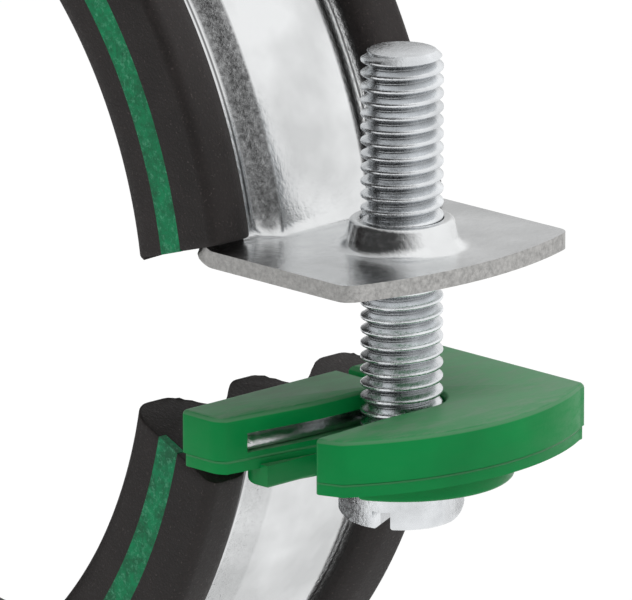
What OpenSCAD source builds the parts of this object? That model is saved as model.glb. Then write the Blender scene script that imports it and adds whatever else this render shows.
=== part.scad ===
// Rubber-lined pipe clamp in two halves, closed by two screws.
// One screw is the pivot: with the other one slackened, the lower half swings sideways out of its slot.
// The origin is the centre of the pipe seat, Y runs along the pipe and the screws stand along Z.

/* [Pipe seat] */
// Radius of the pipe that the clamp holds
pipe_r = 33.3; // [28:0.1:55]
// Gap between the facing sides of the upper and lower ears
ear_gap = 11.6; // [10:0.2:16]

/* [Steel strip] */
// Thickness of the steel sheet
sheet_t = 1.25; // [1:0.05:1.6]
// Width of the strip round the pipe
band_w = 20.6; // [18:0.2:24]
// Width of the crown pressed along the middle of the strip
crown_w = 13.6; // [8:0.2:14]
// Width of each sloping side of the crown
crown_ramp = 1.6; // [0.8:0.1:2.4]
// Height of the crown over the rest of the strip
crown_h = 1; // [0.4:0.1:1.4]
// Inner radius of the bend between band and ear
bend_r = 1; // [0.6:0.1:2]

/* [Ears] */
// Distance from the outside of the band to each screw's axis
ear_reach = 8.1; // [8:0.1:14]
// Distance from the screw's axis to the corners of the upper ear
ear_corner = 5.7; // [5:0.1:8]
// How far the rounded end of an ear stands out past its corners
ear_bulge = 2.1; // [1:0.1:3]
// How far the ears stand out past each edge of the strip
ear_flare = 1; // [0.4:0.1:2]
// How far the steel slot's edges lie back from the clip's slot
slot_recess = 0.75; // [0.2:0.05:1]
// Height of the threaded collar above the ear
collar_h = 2; // [1:0.1:3]
// Radius of the collar's rim
collar_r = 3.75; // [3.6:0.05:4.5]
// Radius of the flare at the collar's foot
flare_r = 1.1; // [0.5:0.1:1.6]

/* [Rubber lining] */
// Thickness of the rubber between the pipe and the steel
lining_t = 6.5; // [5:0.1:8]
// Thickness of the rubber past each edge of the strip
edge_wall = 1.4; // [1:0.1:2.4]
// Thickness of the lips over the outside of the strip
lip_t = 1.7; // [1:0.1:2.4]
// Thickness of the lips at their inner edge
lip_edge = 0.4; // [0.3:0.05:0.8]
// Width over which each lip rises from its inner edge
lip_rise = 2; // [1:0.1:2.4]
// Radius of the rounded edge between a lip and the rubber's face
lip_round = 0.9; // [0.3:0.1:1]
// Width of each lip, from the face of the rubber inwards
lip_w = 4.2; // [3.6:0.1:5.5]
// Depth of the grooves between the ribs that touch the pipe
groove_d = 1.9; // [0.5:0.1:2.4]
// Width of each rib's crest, which touches the pipe
rib_w = 1.6; // [1:0.1:2.4]
// Distance from a face of the rubber to the crest of the rib beside it
rib_edge = 2.8; // [2:0.1:3.4]
// How far the faces of the rubber stand back from the crests
face_back = 2.2; // [1:0.1:2.6]
// Height of the upper lining's end above the centre plane, at the edge of its face
upper_end = 5.7; // [4:0.1:8]
// Slope of the upper lining's end
upper_slope = 17; // [8:1:22]
// Depth of the lower lining's end below the centre plane, at the edge of its face
lower_end = 7.4; // [6:0.1:9]
// Slope of the lower lining's end, which clears the clip
lower_slope = 25; // [20:1:30]

/* [Green strip] */
// Height of the strip on the face of the rubber
stripe_h = 2.05; // [1:0.05:2.6]
// Distance from the edge of the face to the strip
stripe_in = 1.35; // [0.8:0.05:1.8]
// Depth of the strip in the rubber
stripe_d = 0.7; // [0.4:0.1:1]

/* [Screws] */
// Radius over the thread
screw_r = 3; // [2.5:0.5:3]
// Length of the shank under the head
screw_l = 31.5; // [28:0.1:36]
// Width of the hexagonal head across its flats
head_af = 8; // [7.5:0.5:11]
// Radius of the rounded edge under the head
head_round = 1.2; // [0.4:0.1:1.6]
// Direction of the head's corners and slot, from the line through both screws
head_turn = -65; // [-90:1:90]
// Height of the head
head_h = 3.3; // [2.4:0.1:4.4]
// Width of the slot across the head
driver_w = 1.4; // [1:0.1:1.8]
// Depth of that slot
driver_d = 1.5; // [1:0.1:2]
// Gap round the screws in the collars
thread_gap = 0.05; // [0.03:0.01:0.1]

/* [Lock clip] */
// Thickness of the plastic over and under the ear
skin_t = 1.35; // [1:0.05:2]
// Gap between the plastic and the steel ear
clip_gap = 0.1; // [0.05:0.01:0.2]
// Gap on each side of the screw in the clip's slot
slot_gap = 0.15; // [0.1:0.05:0.4]
// Extra width of the slot at its mouth
mouth_extra = 2; // [0:0.1:3]
// Thickness of the clip's walls past the edges of the ear
end_wall = 0.9; // [0.8:0.1:2]
// Distance from the screw's axis to the front of the inner block
tongue_front = 13.8; // [12:0.1:15]
// Distance from the screw's axis back to the end of the inner block
tongue_back = 1.9; // [1:0.1:4]
// Distance from the screw's axis to the clip's face towards the band
clip_back = 8.7; // [8:0.1:9]
// Thickness of the outer wall past the end of the ear
clip_wall = 1.8; // [1:0.1:2.5]
// How far the bulge of the outer wall sits towards the back
clip_shift = 0.9; // [0:0.1:1.5]
// Height of the set-in band along the clip's lower edge
flash_h = 1; // [0.6:0.1:1.2]
// How far that band is set in
flash_in = 0.15; // [0.05:0.05:0.4]
// Radius of the round boss that the screw's head bears on
boss_r = 8.2; // [7:0.1:9]
// Height of that boss
boss_h = 1.5; // [0.8:0.1:2]
// Width of the slit that frees the inner block
slit_w = 1.3; // [0.8:0.1:2]

/* [Pivot washer] */
// Radius of the captive plastic washer
washer_r = 7; // [6:0.1:8]

/* [Hanger nut] */
// Radius of the threaded hole for the hanger rod
rod_r = 3.4; // [3.4:0.05:5]
// Width of the nut across its flats
nut_af = 13; // [12:0.5:14]
// Height of the nut over the crown of the band
nut_h = 11; // [8:0.5:15]
// Depth of the thread
nut_depth = 10; // [7:0.5:14]
// Size of the bevels at the nut's corners
nut_bevel = 0.8; // [0.4:0.1:1.2]

/* [Hidden] */
$fn = 96;

steel = [0.76, 0.78, 0.80];
rubber = [0.15, 0.135, 0.13];
green = [0.08, 0.52, 0.30];
clip_green = [0.05, 0.55, 0.27];

// Radii of the stack, from the pipe outwards
steel_in = pipe_r + lining_t;
steel_out = steel_in + sheet_t;
crown_out = steel_out + crown_h;
face_r = pipe_r + face_back;
lip_out = steel_out + lip_t;
lining_w = band_w + 2 * edge_wall;

// Places of the screws and heights of the ears
screw_x = steel_out + ear_reach;
pivot_reach = 2 * screw_x;
ear_under = ear_gap / 2;
ear_over = ear_under + sheet_t;
ear_tip = ear_corner + ear_bulge;
ear_w = band_w + 2 * ear_flare;

// The strip's band runs down to where its bend into the ear begins
bend_c = steel_out + bend_r;
bend_z = ear_over + bend_r;
bend_a = asin(bend_z / bend_c);
bend_x = bend_c * cos(bend_a);

// Heights in the clip, measured down from the pipe's centre plane
pocket_top = -ear_under + clip_gap;
pocket_low = -ear_over - clip_gap;
clip_top = pocket_top + skin_t;
clip_low = pocket_low - skin_t;
boss_low = clip_low - boss_h;
slot_half = screw_r + slot_gap;
clip_half = ear_w / 2 + clip_gap + end_wall;
seat_gap = 0.05;
end_gap = 0.1;
far = 200;
eps = 0.02;
seam_a = 0.05;

// Points of an arc about c, from angle a0 to a1, in n steps
function arc(c, r, a0, a1, n) =
    [for (i = [0 : n]) c + r * [cos(a0 + (a1 - a0) * i / n), sin(a0 + (a1 - a0) * i / n)]];

// Radius of the arc that closes a chord of half width h with bulge b
function bulge_r(h, b) = (h * h + b * b) / (2 * b);

// A solid of revolution about the Y axis from a profile of [radius, y] points
module about_y() {
    rotate([-90, 0, 0]) rotate_extrude() children();
}

// All space above a plane at each side that starts at [x, z] and slopes up outwards by angle a
module upper_sector(x, z, a) {
    low = z - x * tan(a);
    rotate([90, 0, 0]) linear_extrude(far, center = true)
        polygon([[0, low], [far, low + far * tan(a)], [far, far], [-far, far], [-far, low + far * tan(a)]]);
}

// Cross-section of the crown: a flat top of height h on radius r between two smooth slopes
module crown_profile(r, w, h) {
    foot = 0.4;
    rise = [for (i = [0 : 8]) [h * (1 - cos(180 * i / 8)) / 2, crown_ramp * i / 8]];
    polygon(concat([[r - foot, -w / 2]],
        [for (p = rise) [r + p[0], -w / 2 + p[1]]],
        [for (i = [8 : -1 : 0]) [r + rise[i][0], w / 2 - rise[i][1]]],
        [[r - foot, w / 2]]));
}

// The crown fades out before each bend, cut back by a roller that lies along Y
module crown_run_out(r, lift) {
    roller_r = 2;
    roller_a = bend_a + 2;
    for (s = [-1, 1])
        rotate([0, -s * roller_a, 0]) translate([s * (r + roller_r + lift), 0, 0])
            rotate([90, 0, 0]) cylinder(h = far, r = roller_r, center = true);
}

// Half a band without its ears, open downwards
module half_band() {
    difference() {
        union() {
            about_y() translate([steel_in, -band_w / 2]) square([sheet_t, band_w]);
            difference() {
                about_y() crown_profile(steel_out, crown_w, crown_h);
                crown_run_out(steel_out, 0);
            }
        }
        difference() {
            about_y() crown_profile(steel_in, crown_w - sheet_t, crown_h);
            crown_run_out(steel_in, 0.2);
        }
    }
}

// The quarter bend between the band and an ear, w wide, on the +X side
module bend(w) {
    reach = 4 * (bend_r + sheet_t);
    translate([bend_x, 0, bend_z]) intersection() {
        rotate([90, 0, 0]) difference() {
            cylinder(h = w, r = bend_r + sheet_t, center = true);
            cylinder(h = w + 2, r = bend_r, center = true);
        }
        rotate([90, 0, 0]) linear_extrude(w + 2, center = true)
            polygon([[0, 0], [-reach * cos(bend_a), -reach * sin(bend_a)], [-reach, -reach], [0, -reach]]);
    }
}

// The bend is as wide as the ear up to just short of the rubber's end, and as wide as the strip past it
module stepped_bend(end_z, slope) {
    low = end_z - end_gap;
    difference() {
        bend(ear_w);
        for (s = [-1, 1])
            translate([face_r, s * (band_w + lining_w) / 2, low]) rotate([90, 0, 0])
                linear_extrude(lining_w, center = true)
                    polygon([[0, 0], [lip_out, lip_out * tan(slope)], [lip_out, lip_out], [0, lip_out]]);
    }
}

// Outline of an ear from the bend to its rounded tip, about its screw's axis
module ear_outline(w) {
    r = bulge_r(w / 2, ear_bulge);
    a = asin(w / 2 / r);
    corner = 1.2;
    intersection() {
        polygon(concat([[bend_x - screw_x - eps, -w / 2], [ear_corner - corner * 0.3, -w / 2]],
            arc([ear_tip - r, 0], r, -a, a, 48),
            [[ear_corner - corner * 0.3, w / 2], [bend_x - screw_x - eps, w / 2]]));
        union() {
            translate([-far, -w / 2 + corner]) square([far + ear_tip, w - 2 * corner]);
            translate([-far, -w / 2]) square([far + ear_corner - corner * 0.8, w]);
            for (s = [-1, 1])
                translate([ear_corner - corner * 0.8, s * (w / 2 - corner)]) circle(corner);
        }
    }
}

module ear(w) {
    translate([screw_x, 0, ear_under]) linear_extrude(sheet_t) ear_outline(w);
}

// Collar drawn up out of the ear, with a concave flare at its foot and a rounded rim
module collar() {
    rim = 0.35;
    translate([screw_x, 0, ear_over]) rotate_extrude() polygon(concat(
        [[screw_r + thread_gap, -0.3], [collar_r + flare_r, -0.3]],
        arc([collar_r + flare_r, flare_r], flare_r, 270, 180, 8),
        arc([collar_r - rim, collar_h - rim], rim, 0, 90, 6),
        [[screw_r + thread_gap, collar_h]]));
}

// Bore through the upper ear and its collar
module collar_bore() {
    translate([screw_x, 0, 0]) cylinder(h = far, r = screw_r + thread_gap);
}

module on_both_sides() {
    children();
    mirror([1, 0, 0]) children();
}

module upper_band() {
    color(steel) difference() {
        union() {
            intersection() {
                half_band();
                upper_sector(0, 0, bend_a - seam_a);
            }
            on_both_sides() {
                stepped_bend(upper_end, upper_slope);
                ear(ear_w);
                collar();
            }
        }
        on_both_sides() collar_bore();
    }
}

// Space swept past the lock screw by the lower half, as a slot of half width h about the pivot's axis
module swing_slot(h, extra) {
    mouth = tongue_front + 1;
    lean = mouth * mouth / pivot_reach / 4;
    tuck = 0.2;
    translate([screw_x, 0, -far / 2]) cylinder(h = far, r = h);
    translate([-screw_x, 0, 0]) intersection() {
        difference() {
            cylinder(h = far, r = pivot_reach + h, center = true, $fn = 360);
            cylinder(h = far + 2, r = pivot_reach - h, center = true, $fn = 360);
        }
        linear_extrude(far, center = true)
            polygon([[0, 0], [far, 0], [far, -far * 0.3]]);
    }
    if (extra > 0)
        translate([screw_x, 0, -far / 2]) linear_extrude(far)
            polygon([[tuck - h, -screw_r], [-h - extra / 2 - lean, -mouth],
                     [h + extra / 2 - lean, -mouth], [h - tuck, -screw_r]]);
}

module lower_band() {
    color(steel) mirror([0, 0, 1]) difference() {
        union() {
            intersection() {
                half_band();
                upper_sector(0, 0, bend_a - seam_a);
            }
            on_both_sides() {
                stepped_bend(lower_end, lower_slope);
                ear(ear_w);
            }
        }
        swing_slot(slot_half + slot_recess, mouth_extra);
        translate([-screw_x, 0, 0]) cylinder(h = far, r = screw_r + 2 * slot_gap);
    }
}

// Smooth step from radius a at y0 to radius b at y1, as points of a cosine
function wave(a, b, y0, y1, n = 8) =
    [for (i = [0 : n]) [a + (b - a) * (1 - cos(180 * i / n)) / 2, y0 + (y1 - y0) * i / n]];

// Half the rubber's pipe side, from the middle rib to the face: crests, groove and rounded edge
function rib_side() =
    let (half = lining_w / 2, crest = half - rib_edge, groove = (crest - rib_w / 2) / 2, root = pipe_r + groove_d)
    concat(wave(pipe_r, root, rib_w / 2, groove), wave(root, pipe_r, groove + eps, crest - rib_w / 2),
        [for (i = [0 : 8]) [face_r - face_back * cos(90 * i / 8), crest + rib_w / 2 + (rib_edge - rib_w / 2) * sin(90 * i / 8)]]);

// Half the rubber's lip side, from the face to the steel: rounded edge, thin inner edge and seat of the strip
function lip_side() =
    let (half = lining_w / 2)
    concat(arc([lip_out - lip_round, half - lip_round], lip_round, 90, 0, 8),
        [for (i = [1 : 8]) [steel_out + lip_edge + (lip_t - lip_edge) * cos(90 * i / 8),
            half - lip_w + lip_rise - lip_rise * sin(90 * i / 8)]],
        [[steel_out, half - lip_w], [steel_out, band_w / 2], [steel_in, band_w / 2]]);

// Cross-section of the rubber: three ribs to the pipe, a web behind the steel and two lips over its edges
module lining_profile() {
    side = concat(rib_side(), lip_side());
    last = len(side) - 1;
    polygon(concat(side, [for (i = [last : -1 : 0]) [side[i][0], -side[i][1]]]));
}

module stripe_profile() {
    translate([face_r + stripe_in, -lining_w / 2]) square([stripe_h, stripe_d]);
}

module half_lining(end_z, slope) {
    color(rubber) intersection() {
        difference() {
            about_y() lining_profile();
            about_y() stripe_profile();
        }
        upper_sector(face_r, end_z, slope);
    }
}

module half_stripe(end_z, slope) {
    color(green) intersection() {
        about_y() stripe_profile();
        upper_sector(face_r, end_z, slope);
    }
}

module upper_lining() {
    half_lining(upper_end, upper_slope);
}

module upper_stripe() {
    half_stripe(upper_end, upper_slope);
}

module lower_lining() {
    mirror([0, 0, 1]) half_lining(lower_end, lower_slope);
}

module lower_stripe() {
    mirror([0, 0, 1]) half_stripe(lower_end, lower_slope);
}

// Screw with its head down, its bearing face at height z
module clamp_screw(z) {
    bevel = 0.6;
    corner_r = head_af / 2 / cos(30);
    color(steel) translate([0, 0, z]) rotate([0, 0, head_turn]) {
        difference() {
            union() {
                translate([0, 0, -head_h]) intersection() {
                    cylinder(h = head_h, r = corner_r, $fn = 6);
                    rotate_extrude() polygon(concat([[0, 0]],
                        arc([corner_r + eps - head_round, head_round], head_round, 270, 360, 6),
                        [[corner_r + eps, head_h], [0, head_h]]));
                }
                translate([0, 0, -eps]) cylinder(h = screw_l - bevel + eps, r = screw_r);
                translate([0, 0, screw_l - bevel]) cylinder(h = bevel, r1 = screw_r, r2 = screw_r - bevel);
            }
            translate([-far / 2, -driver_w / 2, -head_h - 1]) cube([far, driver_w, driver_d + 1]);
        }
    }
}

module lock_screw() {
    translate([screw_x, 0, 0]) clamp_screw(boss_low - seat_gap);
}

module pivot_washer() {
    washer_t = skin_t + boss_h;
    color(clip_green) translate([-screw_x, 0, 0]) difference() {
        translate([0, 0, -ear_over - washer_t]) cylinder(h = washer_t - seat_gap, r = washer_r);
        translate([0, 0, -far / 2]) cylinder(h = far, r = screw_r + thread_gap);
    }
}

module pivot_screw() {
    translate([-screw_x, 0, 0]) clamp_screw(-ear_over - skin_t - boss_h - seat_gap);
}

// Outline of the clip about the lock screw's axis: inner block, outer block and the back that joins them
module clip_outline(inset) {
    tip = ear_tip + clip_wall - inset;
    half = clip_half - inset;
    front = tongue_front - inset;
    back = clip_back - inset;
    edge = ear_corner + 0.1;
    r = bulge_r(half, tip - edge);
    corner = 1.6;
    small = 0.5;
    a0 = asin((-half + 0.7 - clip_shift) / r);
    a1 = asin((half - 0.7 - clip_shift) / r);
    polygon(concat(
        arc([small - back, small - front], small, 180, 270, 5),
        arc([-slot_half - 1 - corner + inset, corner - front], corner, 270, 360, 8),
        [[-slot_half - 0.8, corner - front + 1.4], [slot_half + 0.2, 2.6 - half]],
        arc([slot_half + 0.9 - inset, 0.6 - half], 0.6, 180, 270, 5),
        arc([tip - r, clip_shift], r, a0, a1, 48),
        arc([tip - r + r * cos(a1) - 0.7, half - 0.7], 0.7, 30, 90, 5),
        arc([small - back, half - small], small, 90, 180, 5)));
}

// Pocket that the steel ear slides into, open towards the band
module ear_pocket() {
    r = bulge_r(ear_w / 2, ear_bulge) + clip_gap;
    back = clip_back + 1;
    translate([0, 0, pocket_low]) linear_extrude(pocket_top - pocket_low) intersection() {
        translate([ear_tip + clip_gap - r, 0]) circle(r, $fn = 240);
        translate([-back, -ear_w / 2 - clip_gap]) square([back + ear_tip + 1, ear_w + 2 * clip_gap]);
    }
}

// Room for the bend under the pocket, between the clip's end walls
module bend_room() {
    translate([-clip_back - 1, -ear_w / 2 - clip_gap, boss_low - 1])
        cube([clip_back + 1 - (screw_x - bend_x) + 0.3, ear_w + 2 * clip_gap, pocket_top - boss_low + 1]);
}

module lock_clip() {
    color(clip_green) translate([screw_x, 0, 0]) difference() {
        union() {
            translate([0, 0, clip_low + flash_h])
                linear_extrude(clip_top - clip_low - flash_h) clip_outline(0);
            translate([0, 0, clip_low]) linear_extrude(flash_h + eps) clip_outline(flash_in);
            translate([0, 0, boss_low]) cylinder(h = boss_h + eps, r = boss_r);
        }
        ear_pocket();
        bend_room();
        translate([-screw_x, 0, 0]) swing_slot(slot_half, mouth_extra);
        translate([-clip_back - 1, tongue_back, pocket_top - eps]) cube([clip_back, slit_w, far]);
    }
}

// The nut is saddled onto the crown of the band
module hanger_nut() {
    top = crown_out + nut_h;
    corner_r = nut_af / 2 / cos(30);
    color(steel) difference() {
        intersection() {
            cylinder(h = top, r = corner_r, $fn = 6);
            union() {
                cylinder(h = top - nut_bevel, r = corner_r + 1);
                translate([0, 0, top - nut_bevel])
                    cylinder(h = nut_bevel, r1 = corner_r, r2 = corner_r - 1.8 * nut_bevel);
            }
        }
        rotate([90, 0, 0]) cylinder(h = far, r = crown_out, center = true);
        translate([0, 0, top - nut_depth]) cylinder(h = nut_depth + 1, r = rod_r);
        translate([0, 0, top - 0.6]) cylinder(h = 0.7, r1 = rod_r, r2 = rod_r + 0.7);
    }
}

upper_band();
upper_lining();
upper_stripe();
hanger_nut();
lower_band();
lower_lining();
lower_stripe();
lock_clip();
lock_screw();
pivot_screw();
pivot_washer();
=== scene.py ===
"""Looks of a rubber-lined pipe clamp, laid out as an add-on around the packed part.

Each operator models one piece, or a group of like pieces, and gives it its finish.
All lengths are in metres. The pipe runs along Y and the screws stand along Z.
"""

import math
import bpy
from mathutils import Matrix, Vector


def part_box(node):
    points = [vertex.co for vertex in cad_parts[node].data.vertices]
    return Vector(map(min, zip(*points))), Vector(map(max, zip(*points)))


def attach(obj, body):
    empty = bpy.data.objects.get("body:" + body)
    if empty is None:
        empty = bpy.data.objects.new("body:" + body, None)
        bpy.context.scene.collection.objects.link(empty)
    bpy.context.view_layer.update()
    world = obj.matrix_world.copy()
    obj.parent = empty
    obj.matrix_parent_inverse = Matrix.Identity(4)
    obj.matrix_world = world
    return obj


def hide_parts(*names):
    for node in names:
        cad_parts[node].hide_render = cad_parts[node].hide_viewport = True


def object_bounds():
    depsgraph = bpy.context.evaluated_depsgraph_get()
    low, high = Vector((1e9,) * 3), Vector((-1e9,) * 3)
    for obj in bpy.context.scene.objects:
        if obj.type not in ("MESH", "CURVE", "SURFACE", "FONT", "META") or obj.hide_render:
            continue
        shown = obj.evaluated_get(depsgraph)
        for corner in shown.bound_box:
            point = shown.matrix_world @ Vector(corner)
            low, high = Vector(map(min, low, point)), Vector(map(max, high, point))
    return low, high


bl_info = {
    "name": "Rubber-lined Pipe Clamp",
    "version": (1, 0, 0),
    "blender": (4, 2, 0),
    "location": "3D View > Sidebar > Pipe Clamp",
    "description": "Models a split pipe clamp with a rubber lining and a snap clip",
    "category": "Add Mesh",
}

import bpy
from bpy.props import FloatProperty, FloatVectorProperty, IntProperty, PointerProperty
from mathutils import Vector

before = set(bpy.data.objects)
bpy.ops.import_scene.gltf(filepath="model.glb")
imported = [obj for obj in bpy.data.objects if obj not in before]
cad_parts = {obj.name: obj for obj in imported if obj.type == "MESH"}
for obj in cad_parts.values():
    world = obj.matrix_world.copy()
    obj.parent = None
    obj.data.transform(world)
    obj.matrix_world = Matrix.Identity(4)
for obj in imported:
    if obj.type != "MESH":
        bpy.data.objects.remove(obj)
cad_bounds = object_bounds()

MM = 0.001
MERGE = 0.002 * MM
STRIP_RADIUS = 39.8 * MM
SHEET = 1.25 * MM
SCREW_LOW, SCREW_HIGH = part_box("lock_screw")
BAND_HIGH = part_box("upper_band")[1]
LINING_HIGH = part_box("upper_lining")[1]
SCREW_X = (SCREW_LOW.x + SCREW_HIGH.x) / 2


# Sizes and colours

def length(name, description, default):
    """A length that a user can change, in metres."""
    return FloatProperty(name=name, description=description, default=default,
                         min=0, unit="LENGTH", precision=5)


def slope(name, description, degrees):
    """An angle that a user can change."""
    return FloatProperty(name=name, description=description, default=math.radians(degrees),
                         unit="ROTATION")


def tint(name, description, colour):
    """A surface colour that a user can change."""
    return FloatVectorProperty(name=name, description=description, default=colour,
                               min=0, max=1, size=3, subtype="COLOR")


class StripSizes(bpy.types.PropertyGroup):
    """Sizes of the steel strip and its ears"""
    inner_radius: length("Inner radius", "Inside radius of the strip round the pipe", STRIP_RADIUS)
    thickness: length("Thickness", "Thickness of the steel sheet", SHEET)
    width: length("Width", "Width of the strip round the pipe", 20.6 * MM)
    crown_top: length("Crown top", "Width of the crown's flat top", 8.6 * MM)
    crown_ramp: length("Crown slope", "Width of each sloping side of the crown", 1.9 * MM)
    crown_height: length("Crown height", "Height of the crown over the strip",
                         BAND_HIGH.z - STRIP_RADIUS - SHEET)
    bend_radius: length("Bend radius", "Radius in the corner between strip and ear", 1 * MM)
    ear_height: length("Ear height", "Height of the ears' outer faces off the centre plane", 7.05 * MM)
    ear_width: length("Ear width", "Width of the ears", BAND_HIGH.y * 2)
    ear_tip: length("Ear tip", "Distance from a screw's axis to the tip of its ear", 7.8 * MM)
    ear_bulge: length("Ear bulge", "How far an ear's rounded end stands past its corners", 2.1 * MM)
    ear_corner: length("Ear corner", "Radius of the ears' corners", 1.2 * MM)
    collar_radius: length("Collar radius", "Radius of the threaded collar", 3.75 * MM)
    collar_taper: length("Collar taper", "How much wider the collar is at its foot", 0.28 * MM)
    collar_height: length("Collar height", "Height of the collar over its ear", 2 * MM)
    collar_rim: length("Collar rim", "Radius of the collar's upper edge", 0.4 * MM)
    flare_radius: length("Flare radius", "Radius of the flare at the collar's foot", 1 * MM)
    bore_radius: length("Bore radius", "Radius of the bores for the screws", 3.05 * MM)
    slot_half: length("Slot half width", "Half the width of the lower ear's open slot", 3.9 * MM)
    pivot_hole: length("Pivot hole", "Radius of the lower ear's hole", 3.3 * MM)
    edge_round: length("Edge rounding", "Rounding of the sheet's cut edges", 0.1 * MM)


class LiningSizes(bpy.types.PropertyGroup):
    """Sizes of the rubber lining"""
    pipe_radius: length("Pipe radius", "Radius on the ribs' crests", 33.3 * MM)
    half_width: length("Half width", "Half the lining's width along the pipe", LINING_HIGH.y)
    outer_radius: length("Outer radius", "Radius over the lips", LINING_HIGH.z)
    face_radius: length("Face radius", "Radius of the inner edge of the faces", 35.5 * MM)
    rib_width: length("Rib width", "Width of each rib's crest", 1.6 * MM)
    rib_edge: length("Rib edge", "Distance from a face to the crest beside it", 2.8 * MM)
    groove_depth: length("Groove depth", "Depth of the grooves between the ribs", 1.9 * MM)
    lip_width: length("Lip width", "Width of each lip over the strip", 4.2 * MM)
    lip_rise: length("Lip rise", "Width over which a lip thickens", 2 * MM)
    lip_edge: length("Lip edge", "Thickness of a lip at its inner edge", 0.4 * MM)
    lip_round: length("Lip round", "Radius of the edge between a lip and the face", 0.9 * MM)
    stripe_inset: length("Stripe inset", "Distance from the face's inner edge to the stripe", 1.35 * MM)
    stripe_height: length("Stripe height", "Height of the stripe on the face", 2.05 * MM)
    stripe_depth: length("Stripe depth", "Depth of the stripe in the rubber", 0.7 * MM)
    upper_end: length("Upper end", "Height of the upper lining's ends at the face", 5.7 * MM)
    upper_slope: slope("Upper slope", "Slope of the upper lining's ends", 17)
    lower_end: length("Lower end", "Depth of the lower lining's ends at the face", 7.4 * MM)
    lower_slope: slope("Lower slope", "Slope of the lower lining's ends", 25)
    end_round: length("End rounding", "Rounding of the lining's cut ends", 0.22 * MM)
    steps: IntProperty(name="Steps", description="Faces round each half", default=150, min=24)


class ScrewSizes(bpy.types.PropertyGroup):
    """Sizes of the two screws"""
    radius: length("Thread radius", "Radius over the thread's crests", 3 * MM)
    root_radius: length("Root radius", "Radius at the bottom of the thread", 2.42 * MM)
    pitch: length("Pitch", "Rise of the thread in one turn", 1 * MM)
    shank: length("Shank length", "Length under the head", 31.5 * MM)
    tip_bevel: length("Tip bevel", "Bevel at the screw's end", 0.5 * MM)
    head_across: length("Head across flats", "Width of the head across its flats", 8 * MM)
    head_height: length("Head height", "Height of the head", 3.3 * MM)
    head_round: length("Head rounding", "Radius of the edge under the head", 1.2 * MM)
    head_edge: length("Head edge", "Rounding of the head's other edges", 0.12 * MM)
    head_turn: slope("Head direction", "Direction of the head's corners and slot", -65)
    driver_width: length("Slot width", "Width of the slot across the head", 1.4 * MM)
    driver_depth: length("Slot depth", "Depth of the slot across the head", 1.5 * MM)
    steps: IntProperty(name="Steps", description="Faces in one turn of the thread",
                       default=48, min=12)


class ClipSizes(bpy.types.PropertyGroup):
    """Sizes of the snap clip's finish and of its tab"""
    top_round: length("Top rounding", "Rounding of the clip's upper rim", 0.35 * MM)
    under_round: length("Lower rounding", "Rounding of the clip's lower rim", 0.3 * MM)
    washer_round: length("Washer rounding", "Rounding of the washer's edges", 0.3 * MM)
    seam_share: FloatProperty(name="Seam", description="Height of the parting line, as a share",
                              default=0.42, min=0, max=1)
    tab_edge: length("Tab edge", "Distance from the screw's axis to the tab's inner edge", 3.25 * MM)
    tab_side: length("Tab side", "Distance from the screw's axis to the tab's outer side", 6.5 * MM)
    tab_back: length("Tab back", "Distance from the centre plane to the tab's back", 5.4 * MM)
    tab_front: length("Tab front", "Distance from the centre plane to the tab's front", 10.3 * MM)
    back_corner: length("Back corner", "Radius of the tab's back corner", 1.1 * MM)
    front_corner: length("Front corner", "Radius of the tab's front corner", 2 * MM)
    tab_low: length("Tab underside", "Height of the tab's underside over the clip's", 0.1 * MM)
    tab_high: length("Tab top", "Height of the tab's top over the clip's underside", 1.8 * MM)


class ClampColours(bpy.types.PropertyGroup):
    """Colours of the clamp's finishes"""
    zinc: tint("Zinc", "Bright zinc plate on the strip", (0.72, 0.73, 0.735))
    sheared: tint("Sheared edge", "Dull edge of the steel sheet", (0.44, 0.435, 0.425))
    bolt: tint("Bolt steel", "Zinc plate on the screws, a little bluer", (0.74, 0.76, 0.78))
    rubber: tint("Rubber", "Black rubber of the lining", (0.0155, 0.0125, 0.012))
    stripe: tint("Stripe", "Green rubber of the stripe", (0.006, 0.215, 0.085))
    speck: tint("Specks", "Pale specks in the stripe", (0.10, 0.42, 0.24))
    plastic: tint("Clip plastic", "Green plastic of the clip and washer", (0.002, 0.265, 0.062))
    # Partly painted light: this green stands for the real scuffs on the clip's top, for the painted
    # reflection there and for the painted highlights on its rims.
    scuffed_and_lit: tint("Scuffed plastic", "Greyer green where the clip's top is rubbed", (0.15, 0.31, 0.18))
    floor: tint("Floor", "Pale floor under the clamp", (0.86, 0.86, 0.86))


# Modelling helpers

def arc(centre, radius, start, end, steps):
    """Points of an arc about centre, between two angles in degrees."""
    points = []
    for i in range(steps + 1):
        angle = math.radians(start + (end - start) * i / steps)
        points.append((centre[0] + radius * math.cos(angle), centre[1] + radius * math.sin(angle)))
    return points


def ease(share):
    """A smooth step from 0 to 1."""
    share = min(1, max(0, share))
    return (1 - math.cos(math.pi * share)) / 2


def deselect_all():
    """Leaves edit mode and selects nothing."""
    if bpy.context.object and bpy.context.object.mode != "OBJECT":
        bpy.ops.object.mode_set(mode="OBJECT")
    bpy.ops.object.select_all(action="DESELECT")


def added(name):
    """The primitive that was just added, under its own name."""
    obj = bpy.context.object
    obj.name = name
    obj.data.name = name
    return obj


def edit(obj, kind="VERT"):
    """Opens obj in edit mode with all of it selected."""
    deselect_all()
    obj.select_set(True)
    bpy.context.view_layer.objects.active = obj
    bpy.ops.object.mode_set(mode="EDIT")
    bpy.ops.mesh.select_mode(type=kind)
    bpy.ops.mesh.select_all(action="SELECT")


def done():
    """Closes edit mode."""
    bpy.ops.object.mode_set(mode="OBJECT")


def pick_faces(obj, test):
    """Selects the faces of obj, open in edit mode, for which test is true."""
    bpy.ops.mesh.select_mode(type="FACE")
    bpy.ops.mesh.select_all(action="DESELECT")
    bpy.ops.object.mode_set(mode="OBJECT")
    for face in obj.data.polygons:
        face.select = test(face)
    bpy.ops.object.mode_set(mode="EDIT")


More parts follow.
